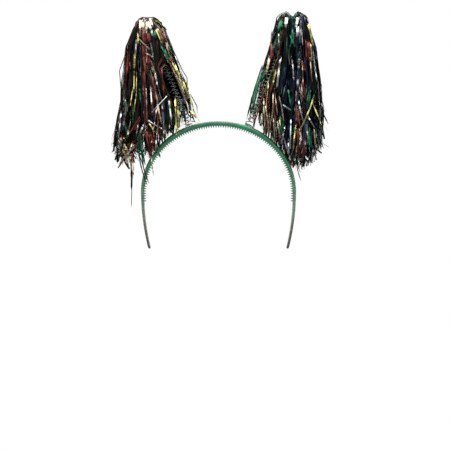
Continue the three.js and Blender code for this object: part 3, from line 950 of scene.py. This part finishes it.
def strip_facing(pompom, points, rng):
    """Direction each part of a strip faces: outwards at the crest, and twisting more and more below."""
    middle_x, middle_y, _, _ = outline(pompom, points[:, 2])
    core = np.minimum(points[:, 2], crest_level(pompom) - STRIP.core)
    along = unit(np.gradient(points, axis=0))
    way = STRIP.longest * ALONG
    free = smoothstep(way, *STRIP.twist_over)
    twist = rng.normal(0, STRIP.lean) * free
    twist = twist + blend(*STRIP.twist, free) * broken_line(rng, way, STRIP.wave_gap)
    twist = twist + blend(*STRIP.crease, free) * broken_line(rng, way, STRIP.crease_gap)
    outwards = points - np.stack([middle_x, middle_y, core], 1)
    return turned(across_strip(outwards, along), along, twist)


def strip_widths(half_width, rng):
    """Half widths along a strip: even, with a cut or pointed end."""
    return half_width * blend(1, rng.choice(STRIP.end_widths), smoothstep(ALONG, STRIP.cut_from, 1))


def zone_foils(pompom, angle, fill):
    """Foils that a strip may have, by where it shows."""
    if fill < LAYERS[-1].fill_to:
        return INNER_FOILS.split()
    if math.sin(angle) > BACK_FROM:
        return BACK_FOILS.split()
    share = (1 + pompom.side * math.cos(angle)) / 2
    return next(zone.foils for zone in pompom.zones if share < zone.to).split()


def pompom_strips(pompom, rng):
    """Strips of a pompom that hang in locks."""
    count = STRIP.locks
    shift = rng.uniform(-STRIP.lock_jitter, STRIP.lock_jitter, count)
    lock_angles = 2 * math.pi * (np.arange(count) + shift) / count
    lock_foils = [rng.choice(zone_foils(pompom, angle, 1)) for angle in lock_angles]
    strips = []
    for layer in LAYERS:
        for i in range(layer.count):
            angle = 2 * math.pi * (i + rng.uniform(-STRIP.jitter, STRIP.jitter)) / layer.count
            fill = rng.uniform(layer.fill_from, layer.fill_to)
            apart = (lock_angles - angle + math.pi) % (2 * math.pi) - math.pi
            lock = np.argmin(np.abs(apart))
            points = strip_line(pompom, angle, angle + apart[lock], fill, rng)
            facing = strip_facing(pompom, points, rng)
            foil = rng.choice(zone_foils(pompom, angle, fill))
            if rng.random() < STRIP.kinship and fill >= LAYERS[-1].fill_to:
                foil = lock_foils[lock]
            half_widths = strip_widths(rng.uniform(*STRIP.half_width), rng)
            # Tones grow from the crest to the end: painted shade at the crest and painted light towards the
            # end.
            tones = rng.beta(*STRIP.tone_odds) * blend(*pompom.tone, ALONG)
            tones = tones + pompom.painted_end_light * ALONG**2
            strips.append(Strip(foil, points, facing, half_widths, tones))
    return strips


def on_front(pompom, places, proud):
    """Points on a pompom's front that the viewer sees at places in the plane of the band."""
    eye = np.array([EYE.x, -EYE.distance, EYE.z])
    flat = np.stack([places[:, 0], np.zeros(len(places)), places[:, 1]], 1)
    points = flat
    for _ in range(STRAND.rounds):
        middle_x, middle_y, half_x, half_y = outline(pompom, points[:, 2])
        across = (points[:, 0] - middle_x) / np.maximum(half_x + proud, 1)
        across = np.clip(across, -STRAND.edge, STRAND.edge)
        depth = middle_y - np.maximum(half_y + proud, 0) * np.sqrt(1 - across**2)
        points = eye + (flat - eye) * (1 + depth / EYE.distance)[:, None]
    return eye + (flat - eye) * (1 + smoothed(depth, STRAND.smooth) / EYE.distance)[:, None]


def crest_seen(pompom):
    """Level of the crest as the viewer sees it in the plane of the band."""
    nearness = EYE.distance / (EYE.distance + pompom.tie[1])
    return EYE.z + (crest_level(pompom) - EYE.z) * nearness


def at_crest(pompom, strand):
    """Whether a strand starts at the crest."""
    return strand.places[0][1] > crest_seen(pompom) - STRAND.crest


def strand_places(pompom, strand):
    """Places of a strand with a stretch before and, where it doesn't end at the hem, a stretch after it."""
    places = np.array(strand.places, float)
    before = places[0] + unit(places[0] - places[1]) * STRAND.lead
    before[1] = min(before[1], max(places[0][1], crest_seen(pompom) - STRAND.crest))
    after = places[-1] + unit(places[-1] - places[-2]) * STRAND.trail
    if at_crest(pompom, strand):
        return np.stack([*places, after])
    if after[1] < hem_level(pompom, after[0]):
        return np.stack([before, *places])
    return np.stack([before, *places, after])


def over_crest(pompom, points):
    """A strand led over the crest from the back, where its other end lies."""
    tie_y = pompom.tie[1]
    back = [(points[0, 0], tie_y + behind, points[0, 2] + below) for behind, below in STRAND.over]
    return ringed(np.concatenate([back, points]))


def strand_line(pompom, strand, number, rng):
    """Points of one strip of a strand, and the share by which each of them shows."""
    corners = strand_places(pompom, strand)
    lengths = lengths_along(corners)
    start, end = rng.uniform(0, STRAND.end, 2) * (number > 0)
    way = blend(start, lengths[-1] - end, ALONG)
    places = points_along(corners, lengths, way)
    places[:, 0] += STRAND.apart * strand.half_width * (number - (strand.count - 1) / 2)
    wave = STRAND.wave * broken_line(rng, way, STRIP.wave_gap)
    shown = 1 - smoothstep(way, way[-1] - STRAND.trail, way[-1])
    if not at_crest(pompom, strand):
        shown = shown * smoothstep(way, start, start + STRAND.lead)
    proud = STRAND.proud + STRAND.spread * rng.random()
    free = places[:, 1] < hem_level(pompom, places[:, 0])
    tucked = np.where(free, proud, STRAND.tucked)
    points = on_front(pompom, places, blend(tucked, proud, shown)) + np.outer(wave, (1, 0, 0))
    return (over_crest(pompom, points) if at_crest(pompom, strand) else points), shown


def strand_facing(strand, points, shown, rng):
    """Direction each part of a strand faces: its own where it shows, and turned away at its ends."""
    along = unit(np.gradient(points, axis=0))
    faces = math.radians(strand.faces)
    towards = np.array([math.sin(faces), -math.cos(faces), 0])
    twist = STRAND.turn * rng.choice([-1, 1]) * (1 - shown)
    length = lengths_along(points)
    twist = twist + STRAND.twist * broken_line(rng, length, STRIP.wave_gap)
    twist = twist + STRAND.crease * broken_line(rng, length, STRIP.crease_gap)
    return turned(across_strip(towards, along), along, twist)


def strand_strips(pompom, rng):
    """Strips that stand out on a pompom's front."""
    strips = []
    for strand in pompom.strands:
        for number in range(strand.count):
            points, shown = strand_line(pompom, strand, number, rng)
            facing = strand_facing(strand, points, shown, rng)
            start = blend(STRAND.start_width, 1, smoothstep(ALONG, *STRAND.start_over))
            half_widths = strip_widths(strand.half_width, rng) * start
            tones = np.full(len(ALONG), rng.uniform(*STRAND.tone))
            strips.append(Strip(strand.foil, points, facing, half_widths, tones))
    return strips


def ribbon_mesh(name, strips):
    """One mesh of closed thin ribbons, with the tone of each strip."""
    points = np.array([strip.points for strip in strips])
    facing = np.array([strip.facing for strip in strips])[:, :, None, :]
    half_widths = np.array([strip.half_widths for strip in strips])[:, :, None, None]
    tones = np.array([strip.tones for strip in strips])
    along = unit(np.gradient(points, axis=1))[:, :, None, :]
    across = np.cross(along, facing) * half_widths
    face = facing * STRIP.half_thickness
    corners = np.concatenate([across + face, -across + face, -across - face, across - face], 2)
    count, length = points.shape[:2]
    one = np.array(loft_faces(length, 4))
    faces = (one[None] + (np.arange(count) * length * 4)[:, None, None]).reshape(-1, 4)
    mesh = new_mesh(name, points[:, :, None, :] + corners, faces.tolist())
    mesh.attributes.new("tone", "FLOAT", "POINT").data.foreach_set("value", np.repeat(tones.ravel(), 4))
    mesh.shade_smooth()
    mesh.set_sharp_from_angle(angle=math.radians(STRIP.sharp_degrees))
    return mesh


def add_tie(pompom, material):
    """Gathered neck of folded film that grips the top of the spring."""
    middle = head_middle(pompom)
    _, axis, _ = spring_stand(pompom)
    sideways, backward = square_to(axis)
    angles = math.pi * np.arange(2 * TIE_FOLDS.count) / TIE_FOLDS.count
    folds = 1 + TIE_FOLDS.depth * np.cos(TIE_FOLDS.count * angles)
    around = np.outer(np.cos(angles) * folds, sideways) + np.outer(np.sin(angles) * folds, backward)
    rings = [middle + neck.height * axis + neck.radius * around for neck in TIE[::-1]]
    mesh = new_mesh("tie_" + pompom.name, rings, loft_faces(len(rings), len(angles)))
    add_piece(mesh.name, mesh, material, "pompom_" + pompom.name)


def add_pompom(pompom, materials):
    """All strips of a pompom, joined foil by foil, and its tie."""
    rng = np.random.default_rng(pompom.seed)
    strips = pompom_strips(pompom, rng) + strand_strips(pompom, rng)
    for foil, material in materials.items():
        of_foil = [strip for strip in strips if strip.foil == foil]
        mesh = ribbon_mesh(f"foil_{foil}_{pompom.name}", of_foil)
        add_piece(mesh.name, mesh, material, "pompom_" + pompom.name)
    add_tie(pompom, materials["ink"])


# Stage, in metres

LIGHT_AIM = (0, 0, 0.02)
Light = namedtuple("Light", "name place size radiance")
LIGHTS = [
    Light("top", (0.0, 0.05, 1.2), (1.6, 1.0), 3.8),
    Light("front", (0.0, -0.85, 0.98), (1.2, 0.8), 2.1),
    Light("fill", (0.0, -1.6, -0.05), (1.2, 0.6), 0.9),
    Light("left", (-1.15, -0.8, 0.1), (0.4, 1.6), 2.8),
    Light("right", (1.15, -0.8, 0.1), (0.4, 1.6), 2.7),
    Light("back_left", (-0.9, 1.0, 0.3), (0.4, 1.4), 2.6),
    Light("back_top", (0.0, 1.3, 0.95), (2.4, 0.8), 3.4),
    Light("back_right", (0.9, 1.0, 0.5), (0.4, 1.4), 2.6),
]
AMBIENT = 0.2
WHITE = (1, 1, 1, 1)
FLOOR = SimpleNamespace(reach=6.0, level=-0.302, bounce=(0.25, 0.25, 0.25, 1))


def add_camera():
    data = bpy.data.cameras.new("camera")
    data.lens = EYE.lens
    data.sensor_width = EYE.sensor
    camera = add_object("camera", data)
    camera.location = (EYE.x * MM, -EYE.distance * MM, EYE.z * MM)
    camera.rotation_euler = (math.pi / 2, 0, 0)
    bpy.context.scene.camera = camera


def add_softbox(name, place, size, radiance):
    """Light of a size in metres, turned to the object, as bright from edge to edge at any size."""
    data = bpy.data.lights.new(name, "AREA")
    data.shape = "RECTANGLE"
    data.size, data.size_y = size
    data.energy = radiance * math.pi * size[0] * size[1]
    light = add_object(name, data)
    light.location = place
    light.rotation_euler = (Vector(LIGHT_AIM) - Vector(place)).to_track_quat("-Z", "Y").to_euler()
    light.visible_camera = False


def camera_or_other(tree, seen, other):
    """Shader that is one thing to the eye and another to light that bounces."""
    to_eye = add_node(tree, "ShaderNodeLightPath", {})["Is Camera Ray"]
    return add_node(tree, "ShaderNodeMixShader", {"Fac": to_eye, 1: other, 2: seen})["Shader"]


def add_world():
    world = bpy.data.worlds.new("studio")
    world.use_nodes = True
    tree = world.node_tree
    white = feed(tree, tree.nodes["Background"], {"Color": WHITE})
    dim = add_node(tree, "ShaderNodeBackground", {"Color": WHITE, "Strength": AMBIENT})
    both = camera_or_other(tree, white["Background"], dim["Background"])
    feed(tree, tree.nodes["World Output"], {"Surface": both})
    bpy.context.scene.world = world


def add_floor():
    """Plain floor: white to the eye, darker to light that bounces off it."""
    mesh = bpy.data.meshes.new("floor")
    sides = [(-1, -1), (1, -1), (1, 1), (-1, 1)]
    corners = [(x * FLOOR.reach, y * FLOOR.reach, FLOOR.level) for x, y in sides]
    mesh.from_pydata(corners, [], [(0, 1, 2, 3)])
    floor = add_object("floor", mesh)
    material, tree, shader = new_material("floor_white")
    tree.nodes.remove(shader)
    glow = add_node(tree, "ShaderNodeEmission", {"Strength": 1.0})
    matt = add_node(tree, "ShaderNodeBsdfDiffuse", {"Color": FLOOR.bounce})
    both = camera_or_other(tree, glow["Emission"], matt["BSDF"])
    feed(tree, tree.nodes["Material Output"], {"Surface": both})
    mesh.materials.append(material)


bpy.context.scene.view_settings.view_transform = "Standard"
add_camera()
add_world()
add_floor()
for light in LIGHTS:
    add_softbox(*light)
add_headband()
wire = wire_material()
foils = {name: foil_material(name, foil) for name, foil in FOILS.items()}
for pompom in (LEFT, RIGHT):
    add_spring(pompom, wire)
    add_pompom(pompom, foils)
